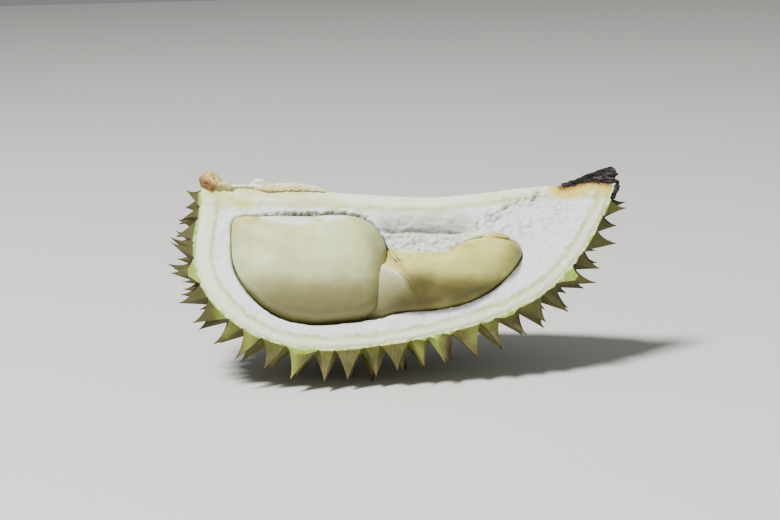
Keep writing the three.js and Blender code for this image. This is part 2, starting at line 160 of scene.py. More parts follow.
def closed_shape(name, rings, first=None, last=None):
    """A closed piece through those rings, ending in a point at either end, or flat without one."""
    rings = np.array(rings)
    first = np.mean(rings[0], 0) if first is None else first
    last = np.mean(rings[-1], 0) if last is None else last
    count, across = rings.shape[:2]
    verts = np.concatenate([rings.reshape(-1, 3), [first, last]])
    j = np.arange(across)
    k = (j + 1) % across
    faces = []
    for low in range(0, (count - 1) * across, across):
        faces += np.stack([low + j, low + k, low + across + k, low + across + j], 1).tolist()
    end = (count - 1) * across
    faces += np.stack([0 * j + count * across, k, j], 1).tolist()
    faces += np.stack([0 * j + count * across + 1, end + j, end + k], 1).tolist()
    shape = bpy.data.meshes.new(name)
    shape.from_pydata(laid_down(verts).tolist(), [], faces)
    bm = bmesh.new()
    bm.from_mesh(shape)
    bmesh.ops.recalc_face_normals(bm, faces=bm.faces)
    bm.to_mesh(shape)
    bm.free()
    return set_down(name, shape)


def husk_body(depth, rings=150, around=240):
    """The whole fruit's body, that far under the foot of its skin."""
    inset = []
    for i in range(1, rings):
        n = np.searchsorted(skin_length, skin_length[-1] * i / rings)
        x, r = skin[n] - depth * skin_out[n]
        if r > 1:
            inset.append(place(x, r, 360 * np.arange(around) / around))
    return closed_shape("husk_body", inset, place(skin[0, 0] + depth, 0, 0),
                        place(skin[-1, 0] - depth, 0, 0))


def wedge(outset=0):
    """The valve's share of the fruit, between its two seams and beyond the core's edge."""
    half_angle = (FRONT + BACK) / 2
    shift = np.array([0, math.sin(math.radians(half_angle)), math.cos(math.radians(half_angle))])
    shift *= outset / math.sin(math.radians((FRONT - BACK) / 2))
    past = 145  # past every spine
    rings = []
    for x, r in curve(CORE, 60):
        ring = place(x, np.array([r, past, 1.2 * past, past, r * CORE_BACK_RATIO]),
                     np.array([FRONT, FRONT, half_angle, BACK, BACK]))
        rings.append(ring + shift)
    return closed_shape("wedge", rings)


def lump(seam, outline, middle, front, back, slide=0, outset=0, around=150, up=22, full=0.42,
         dome=0.42):
    """A lump, or the hollow for one, through that outline in the seam's plane. It bulges out by
    front and in by back, and the lower dome and full are, the squarer those two sides."""
    side = 1 if seam == FRONT else -1
    outward = place(0, side, seam + 90)
    away = place(0, 1, seam)
    heart = np.array(middle)
    rays = curve(outline, around, closed=True) - heart
    rays *= 1 + outset / np.linalg.norm(rays, axis=1)[:, None]

    def spread(share, height):
        flat = heart + rays * share
        deep = max(-height, 0)
        return (np.outer(flat[:, 0], [1, 0, 0]) + np.outer(flat[:, 1] + slide * deep, away)
                + height * outward)

    rings = []
    for i in range(1, 2 * up):
        tilt = math.pi * i / (2 * up)
        height = math.cos(tilt) * ((front if tilt < math.pi / 2 else back) + outset)
        rings.append(spread(math.sin(tilt) ** (dome if height > 0 else full), height))
    return closed_shape("lump", rings, spread(0, front + outset)[0], spread(0, -back - outset)[0])


def settled(piece):
    """The piece with its modifiers worked into its mesh."""
    graph = bpy.context.evaluated_depsgraph_get()
    shape = bpy.data.meshes.new_from_object(piece.evaluated_get(graph))
    piece.modifiers.clear()
    piece.data = shape
    return piece


def cut(piece, tool, how="DIFFERENCE"):
    step = piece.modifiers.new(how, "BOOLEAN")
    step.operation, step.object, step.solver = how, tool, "MANIFOLD"
    settled(piece)
    bpy.data.objects.remove(tool)
    return piece


def regrained(piece, size):
    """The piece as an even mesh of that grain, its cut edges a little rounded."""
    step = piece.modifiers.new("grain", "REMESH")
    step.mode, step.voxel_size = "VOXEL", size
    smooth = piece.modifiers.new("smooth", "SMOOTH")
    smooth.factor, smooth.iterations = 0.5, 4
    return settled(piece)


def points_of(piece):
    co = np.empty(len(piece.data.vertices) * 3, np.float32)
    piece.data.vertices.foreach_get("co", co)
    return co.reshape(-1, 3).astype(float)


def normals_of(piece):
    directions = np.empty(len(piece.data.vertices) * 3, np.float32)
    piece.data.vertex_normals.foreach_get("vector", directions)
    return directions.reshape(-1, 3).astype(float)


def move_points(piece, room_m):
    piece.data.vertices.foreach_set("co", room_m.astype(np.float32).ravel())
    piece.data.update()


def note(piece, name, values, kind="FLOAT", domain="POINT"):
    values = np.asarray(values, np.float32)
    layer = piece.data.attributes.new(name, kind, domain)
    layer.data.foreach_set("vector" if kind == "FLOAT_VECTOR" else "value", values.ravel())


def ripple(points, size, octaves=3, stretch=(1, 1, 1), seed=0):
    """Smooth noise of about -1 to 1 whose lumps are that many millimetres."""
    scaled = points / (size * np.array(stretch)) + 31.7 * seed
    return np.array([noise.fractal(p, 0.9, 2.1, octaves) for p in scaled.tolist()])


def fade(value, low, high):
    t = np.clip((value - low) / (high - low), 0, 1)
    return t * t * (3 - 2 * t)


def past_line(flat, points):
    """Distance from the line through those [x, r] points, above 0 on the side off the axis."""
    line = curve(points, 60)
    start, run = line[:-1], np.diff(line, axis=0)
    t = ((flat[:, None] - start) * run).sum(2) / (run**2).sum(1)
    away = flat[:, None] - start - np.clip(t, 0, 1)[:, :, None] * run
    nearest = (away**2).sum(2).argmin(1)
    away, run = away[np.arange(len(flat)), nearest], run[nearest]
    return np.hypot(*away.T) * np.sign(run[:, 0] * away[:, 1] - run[:, 1] * away[:, 0])


def near_line(flat, points, width):
    """1 on that line, falling to 0 at that distance."""
    return fade(width - np.abs(past_line(flat, points)), 0, width)


def fin(crest, foot, thick, steps=28):
    """A fin that stands on the core's end, its front in the seam's plane."""
    rings = []
    for i, (x, r) in enumerate(curve(crest, steps)):
        share = i / steps
        crown = place(x, r, FRONT)
        low = np.interp(x, *np.transpose(foot))
        back = crown + [0, thick[0] + (thick[1] - thick[0]) * share, -share]
        rings.append([crown, place(x, low, FRONT), place(x, low, BACK), back])
    return closed_shape("fin", rings)


def over_front(mm):
    """The points as [x, r] over the front face."""
    return np.stack([mm[:, 0], mm @ place(0, 1, FRONT)], 1)


pith = cut(husk_body(SKIN_BACKING), wedge(), "INTERSECT")
for hollow in (WIDE_HOLLOW, NARROW_HOLLOW):
    cut(pith, lump(**hollow, full=1.4))
cut(pith, cut(lump(**TORN_PAD), wedge(), "INTERSECT"), "UNION")
cut(pith, fin(BURNT_CREST, BURNT_FOOT, BURNT_THICKNESS), "UNION")
cut(pith, lump(**WIDE_FLESH, outset=FLESH_ROOM))
cut(pith, lump(**BACK_HOLLOW))
regrained(pith, PITH_SPONGE)

# Where each point of the pith lies: under the skin, off the core's edge, and on which torn face.
pith_mm = in_fruit(points_of(pith))
under_skin = depth_under_skin(pith_mm)
seam_out = {side: place(0, 1 if side == FRONT else -1, side + 90) for side in (FRONT, BACK)}
flat = np.stack([pith_mm[:, 0], np.hypot(pith_mm[:, 1], pith_mm[:, 2])], 1)
on_front, on_back = (fade(pith_mm @ seam_out[side], -4.4, -0.5) for side in (FRONT, BACK))
core_edge = np.interp(flat[:, 0], *curve(CORE, 60).T) * (1 + (CORE_BACK_RATIO - 1) * on_back)
torn = np.flatnonzero(on_front + on_back > 0)
spot, at = pith_mm[torn], flat[torn]
edge_depth, core_depth = under_skin[torn], (flat[:, 1] - core_edge)[torn]
x, r = at.T
past_vein = edge_depth - np.interp(x, *np.transpose(VEIN_DEPTH))
past_core_vein = core_depth - np.interp(x, *np.transpose(CORE_VEIN_DEPTH))
ahead = on_front[torn]

# Both torn faces: soft waves, a spongy middle, sunken veins, and rolled edges.
sponge = fade(past_vein, -0.5, 1.5) * fade(past_core_vein, 0, 3)
crumbs = 0.3 * ripple(spot, 4.5, 3, (1, 1, 2), seed=3) + 0.13 * ripple(spot, 1.9, 2, seed=4)
rough = 0.4 * ripple(spot, 11, seed=1) + 0.1 * ripple(spot, 2.6, seed=2) + sponge * crumbs
rough -= 0.25 * np.exp(-((past_vein / 0.8) ** 2)) + 0.2 * np.exp(-((past_core_vein / 1.2) ** 2))
rough -= 0.7 * fade(edge_depth, 3, 0)
rough -= np.interp(x, *np.transpose(ROLLED_EDGE)) * fade(core_depth, 6.5, 0) ** 1.6

# The front alone: wrinkles with cracks beyond the narrow hollow.
warped = spot + 2.2 * ripple(spot, 5, 2, seed=5)[:, None]
crack = np.exp(-((ripple(warped, 6, 2, seed=6) / 0.1) ** 2))
wrinkled = np.maximum(near_line(at, WRINKLES, 8), 0.6 * near_line(at, FAINT_WRINKLES, 9)) * ahead
rough += (np.abs(ripple(warped, 3.2, 2, seed=7)) - 1.9 * crack) * wrinkled

# A strip that sinks toward the pad, the torn line above it, and the pad's own crumbled tissue.
sunk = fade(r, 12, 26.5) ** 1.5 * fade(r, 28.4, 26.8) * fade(x, -9, 0) * fade(x, 50, 38) * ahead
rough -= sunk * (4.4 + 1.1 * ripple(spot, 3.4, 4, seed=8))
torn_line = near_line(at, TORN_LINE, 2) * ahead
rough -= 1.2 * torn_line
on_pad = fade(r, 27, 28.4) * fade(r, 42, 40) * fade(x, -6, -3) * fade(x, 44, 41) * ahead
swell = 1.0 - 0.16 * (r - 27.5)
rough += on_pad * (swell + 1.4 * ripple(spot, 3.0, 4, seed=9) - 0.7 * crack)

# The scorched end, and the ragged edge and gap over the wide lump.
scorched = near_line(over_front(spot), BURNT_CREST, 10) * ahead
rough += 0.4 * scorched * ripple(spot, 1.8, 3, seed=10)
ragged = near_line(at, RAGGED_LINE, 3.5) * ahead
rough += ragged * (0.9 * ripple(spot, 2.1, 3, seed=12) - 0.2)
gap_edge = near_line(at, GAP_LINE, 2.4) * ahead
rough -= 2.6 * gap_edge * fade(ripple(spot, 1.7, 3, seed=13), -0.15, 0.3)

relief = np.zeros(len(pith_mm))
relief[torn] = rough * np.maximum(on_front, on_back)[torn]
outward = np.where((on_front > on_back)[:, None], seam_out[FRONT], seam_out[BACK])
pith_mm += outward * relief[:, None]
walls = (1 - np.maximum(on_front, on_back)) * fade(under_skin, 3, 5)
pith_mm += (normals_of(pith) @ LIE) * (walls * 0.25 * ripple(pith_mm, 3, 3, seed=11))[:, None]
move_points(pith, laid_down(pith_mm))

# What the colours need to know. The veins' distances are raised by 40, as 0 means no torn face.
note(pith, "under_skin", under_skin)
stained = [strength * near_line(at, line, width) for line, width, strength in STAINS]
for name, values in {
        # The sunken strip and the cracks get painted shade from these masks.
        "scorched": scorched, "sunk": sunk, "cracked": crack * wrinkled,
        "crumbled": np.maximum.reduce([on_pad, 0.6 * sunk, 0.8 * ragged, 0.5 * wrinkled]),
        "past_vein": past_vein + 40, "past_core_vein": past_core_vein + 40,
        # painted shade in the gap over the wide lump and in the torn line over the pad
        "gap_edge": np.maximum(gap_edge, 0.8 * torn_line),
        "stained": np.maximum.reduce(stained) * ahead}.items():
    everywhere = np.zeros(len(pith_mm))
    everywhere[torn] = values
    note(pith, name, everywhere)


def tint(red, green, blue):
    return tuple(((c / 255 + 0.055) / 1.055) ** 2.4 for c in (red, green, blue)) + (1,)


def feed(tree, node, sockets):
    """Each socket linked, or set where its value is plain. A name's spaces may be underscores."""
    for key, value in sockets.items():
        socket = node.inputs[key.replace("_", " ") if isinstance(key, str) else key]
        if isinstance(value, bpy.types.NodeSocket):
            tree.links.new(value, socket)
        else:
            socket.default_value = value
    return node


def put(tree, kind, sockets=None, **settings):
    node = tree.nodes.new(kind)
    for key, value in settings.items():
        setattr(node, key, value)
    return feed(tree, node, sockets or {})


def calc(tree, operation, a, b=0.0):
    return put(tree, "ShaderNodeMath", {0: a, 1: b}, operation=operation).outputs[0]


def plus(tree, a, b, share):
    return calc(tree, "ADD", a, calc(tree, "MULTIPLY", b, share))


def ramp(tree, value, low, high):
    sockets = {"Value": value, "From Min": low, "From Max": high}
    return put(tree, "ShaderNodeMapRange", sockets, interpolation_type="SMOOTHSTEP").outputs[0]


def mixed(tree, share, a, b):
    return put(tree, "ShaderNodeMix", {0: share, 6: a, 7: b}, data_type="RGBA").outputs[2]


def seen(tree, name):
    return put(tree, "ShaderNodeAttribute", attribute_name=name).outputs["Fac"]


def washed(tree, colour, *washes):
    """The colour under washes of others. Each is where it lies, as a value or the name of an
    attribute, its strength, and its tint."""
    for where, strength, rgb in washes:
        where = seen(tree, where) if isinstance(where, str) else where
        colour = mixed(tree, calc(tree, "MULTIPLY", where, strength), colour, tint(*rgb))
    return colour


def effect(name, inputs, outputs):
    tree = bpy.data.node_groups.new(name, "ShaderNodeTree")
    for direction, names in (("INPUT", inputs), ("OUTPUT", outputs)):
        for socket, kind in names.items():
            tree.interface.new_socket(socket, in_out=direction, socket_type="NodeSocket" + kind)
    return tree, tree.nodes.new("NodeGroupInput"), tree.nodes.new("NodeGroupOutput")


# Patches, a few millimetres across, and much finer specks, as plant tissue is coloured.
mottle, given, result = effect(
    "mottle", {"Position": "Vector", "Patch Scale": "Float", "Speck Scale": "Float"},
    {"Patches": "Float", "Specks": "Float"})
for socket, scale, low, high in (("Patches", "Patch Scale", 0.36, 0.64),
                                 ("Specks", "Speck Scale", 0.54, 0.68)):
    cloud = put(mottle, "ShaderNodeTexNoise", {
        "Vector": given.outputs["Position"], "Scale": given.outputs[scale], "Detail": 3.0,
        "Roughness": 0.55})
    mottle.links.new(ramp(mottle, cloud.outputs["Fac"], low, high), result.inputs[socket])

# Fine fibres that lie along one direction, as a height.
fibres, given, result = effect(
    "fibres", {"Position": "Vector", "Scale": "Float", "Stretch": "Vector"}, {"Height": "Float"})
drawn = put(fibres, "ShaderNodeVectorMath",
            {0: given.outputs["Position"], 1: given.outputs["Stretch"]},
            operation="MULTIPLY").outputs[0]
strands = put(fibres, "ShaderNodeTexNoise", {
    "Vector": drawn, "Scale": given.outputs["Scale"], "Detail": 4.0, "Roughness": 0.62,
    "Distortion": 0.25})
fibres.links.new(strands.outputs["Fac"], result.inputs["Height"])


def tissue(name):
    material = bpy.data.materials.new(name)
    material.use_nodes = True
    tree = material.node_tree
    put(tree, "ShaderNodeTexCoord").name = "own place"
    return material, tree, tree.nodes["Principled BSDF"]


def grouped(tree, group, **sockets):
    """The effect's outputs, on the piece's own coordinates."""
    sockets["Position"] = tree.nodes["own place"].outputs["Object"]
    return put(tree, "ShaderNodeGroup", sockets, node_tree=group).outputs


def coated(tree, surface, colour, roughness, **plain):
    feed(tree, surface, {"Base Color": colour, "Roughness": roughness, **plain})


def bumped(tree, surface, height, distance, strength):
    sockets = {"Height": height, "Distance": distance, "Strength": strength}
    feed(tree, surface, {"Normal": put(tree, "ShaderNodeBump", sockets).outputs[0]})


pith_white, tree, surface = tissue("pith_white")
cloud = grouped(tree, mottle, Patch_Scale=130.0, Speck_Scale=900.0)
coarse = grouped(tree, mottle, Patch_Scale=55.0, Speck_Scale=380.0)
crumb = grouped(tree, fibres, Scale=520.0, Stretch=(0.7, 1.0, 1.0))["Height"]
wander_mm = plus(tree, calc(tree, "MULTIPLY", crumb, 2.0), cloud["Patches"], 1.6)
vein_mm = calc(tree, "ADD", seen(tree, "past_vein"), wander_mm)
core_mm = calc(tree, "ADD", seen(tree, "past_core_vein"), wander_mm)
sponge = calc(tree, "MULTIPLY", ramp(tree, vein_mm, 41.0, 43.5), ramp(tree, core_mm, 41.0, 44.5))
colour = mixed(tree, cloud["Patches"], tint(228, 239, 200), tint(236, 245, 222))
colour = mixed(tree, sponge, colour, tint(232, 240, 237))
colour = washed(tree, colour, (ramp(tree, crumb, 0.47, 0.32), 0.3, (196, 199, 196)))
streaks = ramp(tree, coarse["Patches"], -1.2, 0.9)
for measured, width, strength in ((vein_mm, 2.4, 0.85), (core_mm, 2.8, 0.6)):
    off = calc(tree, "ABSOLUTE", calc(tree, "SUBTRACT", measured, 41.7))
    vein = calc(tree, "MULTIPLY", ramp(tree, off, width, 0.0), streaks)
    colour = washed(tree, colour, (vein, strength, (188, 187, 122)))
# Painted shade in the pits of the crumbled tissue, where its bump is lowest.
pits = calc(tree, "MULTIPLY", ramp(tree, crumb, 0.5, 0.34), seen(tree, "crumbled"))
amber = calc(tree, "MULTIPLY", seen(tree, "stained"), ramp(tree, cloud["Patches"], -1.0, 1.0))
# Painted shade along the gap over the wide lump and in the torn line over the pad.
painted_crevice_shade = calc(tree, "MULTIPLY", seen(tree, "gap_edge"), ramp(tree, crumb, 0.4, 0.55))
burnt = plus(tree, seen(tree, "scorched"), cloud["Patches"], 0.15)
colour = washed(
    tree, colour,
    (ramp(tree, seen(tree, "under_skin"), 2.8, 0.6), 0.6, (204, 208, 148)),
    # painted shade in the sunken strip above the pad
    ("sunk", 0.85, (174, 176, 168)),
    # painted shade in the cracks
    ("cracked", 0.75, (174, 172, 158)),
    (cloud["Specks"], 0.16, (190, 184, 150)),
    # painted shade in the pits
    (pits, 0.5, (178, 178, 172)),
    (amber, 0.95, (213, 207, 116)),
    # painted shade in that gap and torn line
    (painted_crevice_shade, 0.9, (120, 112, 84)),
    (ramp(tree, burnt, 0.06, 0.5), 0.9, (219, 203, 90)),
    (ramp(tree, burnt, 0.66, 0.98), 0.9, (202, 162, 68)),
    (ramp(tree, burnt, 0.86, 1.08), 0.85, (92, 64, 42)))
coated(tree, surface, colour, 0.78, Specular_IOR_Level=0.25, Subsurface_Weight=0.12,
       Subsurface_Radius=(1.0, 0.85, 0.6), Subsurface_Scale=0.0012)
fuzz = grouped(tree, fibres, Scale=1500.0, Stretch=(0.35, 1.0, 1.0))["Height"]
spongy = plus(tree, calc(tree, "MULTIPLY", fuzz, 0.6), coarse["Specks"], 0.4)
spongy = plus(tree, spongy, calc(tree, "MULTIPLY", crumb, seen(tree, "crumbled")), 6.0)
bumped(tree, surface, spongy, 0.0005, 0.7)


def finish_piece(piece, name, slot, materials, *nodes):
    piece.name = piece.data.name = name
    piece.data.materials.clear()
    for material in materials:
        piece.data.materials.append(material)
    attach(piece, "root")
    if nodes:
        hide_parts(*nodes)


pith.data.shade_smooth()
finish_piece(pith, "pith_wall", "pith", [pith_white], "pith")


# ---- Torn shreds ----
# Strips and flakes of the core's own tissue that stayed on the ridge where the valve came away.
# They are dry, curled and a little yellow, and grow out of the pith at one end.
SHREDS = [  # path over the front face, width, thickness
    ([[-78, 1.8, -1.6], [-66, 1.6, -0.8], [-54, 1.8, -0.5], [-44, 2.4, -0.5], [-33, 3.8, -1]],
     4.2, 1.4),
    ([[-66, 0.9, -1.2], [-54, 0.8, -0.3], [-45, 1.6, 0], [-36, 2.8, -0.6]], 2.6, 0.9),
    ([[-75.4, 0.9, -1.6], [-72.6, -0.8, -1], [-70.2, -1.4, -0.4], [-68, -0.8, -0.2],
      [-65, 0.8, -0.6]], 3.0, 2.2),
    ([[-73, 3.0, -0.6], [-68, 3.2, 0.4], [-62, 3.6, 0.5], [-56, 3.8, -0.2]], 2.0, 0.9),
    ([[-94, 2.6, -0.8], [-86, 1.6, -0.2], [-77, 1.4, 0], [-68, 2.2, -0.4]], 2.4, 1.2),
    ([[36, 32.4, -0.4], [42, 30.4, 0.9], [47, 29.3, 1.3], [52, 29.2, 0.4]], 2.2, 1.6),
]
LOW_EDGE = [[-74, 1.4], [-50, 2], [-34, 3.6], [30, 40]]
SHRED_GRAIN = 0.00035


def strand(name, path, width, thickness, around=12, steps=26):
    """A torn strip along a path of [x, r, height] over the front face, fine at its ends."""
    line = curve(path, steps)
    off_face = place(0, 1, FRONT + 90)
    middle = place(line[:, 0], line[:, 1], FRONT) + np.outer(line[:, 2], off_face)
    ahead = np.gradient(middle, axis=0)
    ahead /= np.linalg.norm(ahead, axis=1)[:, None]
    aside = np.cross(ahead, off_face)
    aside /= np.linalg.norm(aside, axis=1)[:, None]
    over = np.cross(aside, ahead)
    turn = 2 * np.pi * np.arange(around) / around
    rings = []
    for i in range(1, steps):
        swell = math.sin(math.pi * i / steps) ** 0.5 * (1 + 0.25 * math.sin(2.3 * i + path[0][0]))
        rings.append(middle[i] + np.outer(np.cos(turn) * width / 2 * swell, aside[i])
                     + np.outer(np.sin(turn) * thickness / 2 * swell, over[i]))
    return closed_shape(name, rings, middle[0], middle[-1])


def joined(pieces):
    bm = bmesh.new()
    for piece in pieces:
        bm.from_mesh(piece.data)
    for piece in pieces[1:]:
        bpy.data.objects.remove(piece)
    shape = bpy.data.meshes.new("joined")
    bm.to_mesh(shape)
    bm.free()
    pieces[0].data = shape
    return pieces[0]


def roughened(piece, low, high, *waves):
    """Its points before it got lumps and pits, each wave as its height and what ripple takes."""
    mm = in_fruit(points_of(piece))
    rag = np.clip(sum(height * ripple(mm, *wave) for height, *wave in waves), low, high)
    move_points(piece, laid_down(mm + (normals_of(piece) @ LIE) * rag[:, None]))
    return mm


shreds = regrained(joined([strand("shred", *shred) for shred in SHREDS]), SHRED_GRAIN)
mm = roughened(shreds, -0.4, 0.3, (0.35, 2.6, 3, (4, 1, 1), 15))
past_edge = mm @ place(0, 1, FRONT) - np.interp(mm[:, 0], *np.transpose(LOW_EDGE))
note(shreds, "low_edge", fade(past_edge, -1.2, 1.2))
shred_dry, tree, surface = tissue("shred_dry")
cloud = grouped(tree, mottle, Patch_Scale=150.0, Speck_Scale=900.0)
colour = washed(
    tree, mixed(tree, cloud["Patches"], tint(230, 236, 212), tint(206, 212, 156)),
    ("low_edge", 0.75, (212, 188, 108)),
    (cloud["Specks"], 0.3, (190, 176, 114)))
coated(tree, surface, colour, 0.75)
frayed = grouped(tree, fibres, Scale=1100.0, Stretch=(0.25, 1.0, 1.0))["Height"]
bumped(tree, surface, frayed, 0.0005, 0.8)
shreds.data.shade_smooth()
finish_piece(shreds, "core_shreds", "pith", [shred_dry])


# ---- Flesh ----
# Two soft lumps of custardy flesh, each round its seed, in the two hollows of the front chamber.
# They lie loose in the pith, and the narrow one's neck is pressed against the wide one.
NARROW_FLESH = dict(
    NARROW_HOLLOW, front=11.5, back=21.6, dome=0.78, middle=(28, 47.5),
    outline=[[-18, 60], [-10, 47], [-4.4, 39], [2, 36.4], [12, 37.8], [30, 38], [36.6, 34.4],
             [42, 31.6], [51, 30.4], [60, 30.8], [67, 33.3], [69.7, 37], [69.1, 41], [65, 47],
             [54.6, 57.3], [41, 64.4], [26, 67.9], [6, 69.8], [-6, 72.2], [-14, 70]])
FLESH_GRAIN = 0.0007
NECK_EDGE = [[-3.6, 44.6], [-0.6, 46.8], [3.4, 49.6], [7.4, 53.4], [11, 58.4], [14, 63], [16, 68.5]]
WIDE_DENTS = [  # line over the front face, width, rise
    ([[-78, 27], [-60, 30], [-46, 40], [-30, 44]], 10, 0.7),
    ([[-78, 36], [-62, 42], [-40, 50], [-22, 52]], 9, -0.7),
    ([[-20, 24], [-12, 36], [-9, 52], [-10, 66]], 6, 0.8),
    ([[-60, 66], [-44, 70], [-26, 70]], 7, -0.5),
]
NARROW_DENTS = [
    ([[24, 43], [34, 44.6], [48, 46.5], [60, 46]], 7, 0.4),
    ([[20, 57], [34, 58], [48, 56], [60, 50]], 7, -0.6),
    ([[-4.6, 40], [-0.6, 41.4], [4, 40.6], [8, 41.6]], 5.5, -2.6),
    ([[-10, 44], [-9, 60], [-9, 76]], 22, -4.5),
    ([[46, 33.4], [55, 33.4], [63, 35]], 2.6, 0.6),
]
FOLDS = [  # line, rise, reach
    (NECK_EDGE, 1.2, 18),
    ([[40, 35.6], [47.8, 38.2], [58.4, 39.4], [67, 41]], 0.8, 12),
]
CREST = [[22, 41.5], [34, 42.6], [48, 43], [58, 42.2], [66, 42.6]]
WIDE_CLEFT = [[-0.5, 34], [-2, 40], [-4, 48]]
WIDE_YOLK = [[-82, 27], [-80, 23], [-76, 22], [-71, 22]]
NARROW_YOLK = [([[38, 39], [43, 36], [48, 34.6]], 4), ([[54, 33], [64, 35]], 3)]  # line, width
# Down the cleft: the tan of the fibres there, darkened by painted shade in the cleft.
TAN_FIBRE_AND_SHADE_NOTCH = [[-1.8, 35.5], [0.8, 40], [3.6, 44], [6.6, 47.6]]
WIDE_RESIDUE = [[-66, 19.6], [-57, 21.4], [-46, 22.6], [-34, 21], [-26, 19.4]]
NARROW_RESIDUE = [([[38, 34], [44, 31.6], [51, 30.8]], 2.2),
                  ([[6, 38.4], [18, 39.2], [30, 38.6]], 2.6)]

wide = regrained(lump(**WIDE_FLESH), FLESH_GRAIN)
narrow = cut(lump(**NARROW_FLESH), lump(**WIDE_FLESH, outset=-0.4))
regrained(cut(narrow, lump(**TORN_PAD)), FLESH_GRAIN)


def soften(piece, seed, dents, folds):
    """Soft dents and swells, and folds whose one side lies over the other, on the face out of the
    chamber."""
    mm = in_fruit(points_of(piece))
    at = over_front(mm)
    facing = fade(mm @ seam_out[FRONT], -6, 1)
    height = 0 * facing
    for line, width, rise in dents:
        height += rise * near_line(at, line, width) * facing
    for line, rise, reach in folds:
        past = past_line(at, line)
        over = rise * fade(past, -1.6, 2.4) * fade(reach - past, 0, reach) ** 0.7
        over -= 0.4 * rise * np.exp(-(((past + 1.2) / 1.3) ** 2))
        height += over * (1 - 0.7 * fade(at[:, 1], 50, 64)) * facing
    waves = 0.5 * ripple(mm, 17, 2, seed=seed) + 0.14 * ripple(mm, 5, 2, seed=seed + 1)
    moved = mm + (normals_of(piece) @ LIE) * np.minimum(waves, 0.3)[:, None]
    move_points(piece, laid_down(moved + np.outer(np.minimum(height, 2), seam_out[FRONT])))
    return mm, at


wide_mm, wide_at = soften(wide, 21, WIDE_DENTS, [])
narrow_mm, narrow_at = soften(narrow, 31, NARROW_DENTS, FOLDS)

# What the wide lump's colours need to know, with painted shade towards its lower edge, right
# shoulder and far left end.
wide_x, wide_r = wide_at.T
low = np.maximum.reduce([fade(wide_r + 0.05 * wide_x, 37, 69), 0.45 * fade(wide_x, -24, -5),
                         0.3 * fade(wide_x, -64, -84)])
smeared = fade(ripple(wide_mm, 3.2, 4, (2.4, 1, 1), seed=41), -0.9, 0.3)
# Painted shade: how far back into the hollow, for a dark brown tint on the flesh there.
note(wide, "depth", fade(-(wide_mm @ seam_out[FRONT]), -6, 6))
note(wide, "painted_shade", low + 0.15 * ripple(wide_mm, 12, 3, (1.6, 1, 1), seed=45))
note(wide, "neck", near_line(wide_at, WIDE_CLEFT, 5))
note(wide, "yolk", 0.9 * near_line(wide_at, WIDE_YOLK, 5))
note(wide, "residue", np.minimum(1.5 * near_line(wide_at, WIDE_RESIDUE, 4.6), 1) * smeared)

# And the narrow one's, whose neck has the wide one's colour. Its painted shade darkens it below the
# crest, towards its right end, and down the neck.
narrow_x, narrow_r = narrow_at.T
past_crest = narrow_r - np.interp(narrow_x, *np.transpose(CREST))
past_neck = past_line(narrow_at, NECK_EDGE)
on_neck = fade(past_neck / (1 + 0.16 * np.maximum(narrow_r - 50, 0)), -0.8, 1.6)
low = fade(past_crest, 3.5, 18) * (0.78 + 0.22 * fade(22 - past_crest, -6, 8))
low = np.maximum(low, 0.55 * fade(narrow_x, 52, 70))
low += 0.12 * ripple(narrow_mm, 7, 3, (2, 1, 1), seed=44)
drawn_out = fade(ripple(narrow_mm, 0.9, 2, (1, 1, 5), seed=43), -0.35, 0.25)
smeared = fade(ripple(narrow_mm, 2.8, 4, (2.4, 1, 1), seed=42), -0.7, 0.5)
yolk = sum(near_line(narrow_at, line, width) for line, width in NARROW_YOLK)
# Painted shade: how far back into the hollow, for a dark brown tint on the flesh there.
note(narrow, "depth", fade(-(narrow_mm @ seam_out[FRONT]), -6, 6))
note(narrow, "painted_shade", low * (1 - on_neck) + on_neck * (0.15 + 0.65 * fade(narrow_r, 46, 68)))
note(narrow, "neck", on_neck)
note(narrow, "yolk", yolk * fade(ripple(narrow_mm, 6, 2, seed=46), -0.5, 0.6))
# A glossy streak down the neck's edge: less rough, with a painted highlight in its colour.
note(narrow, "glint", np.exp(-(((past_neck - 1.6) / 1.4) ** 2)) * fade(54 - narrow_r, 0, 5))
# Down the cleft: tan fibres, and painted shade in the cleft.
note(narrow, "tan", near_line(narrow_at, TAN_FIBRE_AND_SHADE_NOTCH, 3.8) * (0.5 + 0.5 * drawn_out))
rim = np.max([near_line(narrow_at, line, width) for line, width in NARROW_RESIDUE], 0)
note(narrow, "residue", 0.7 * rim * smeared)

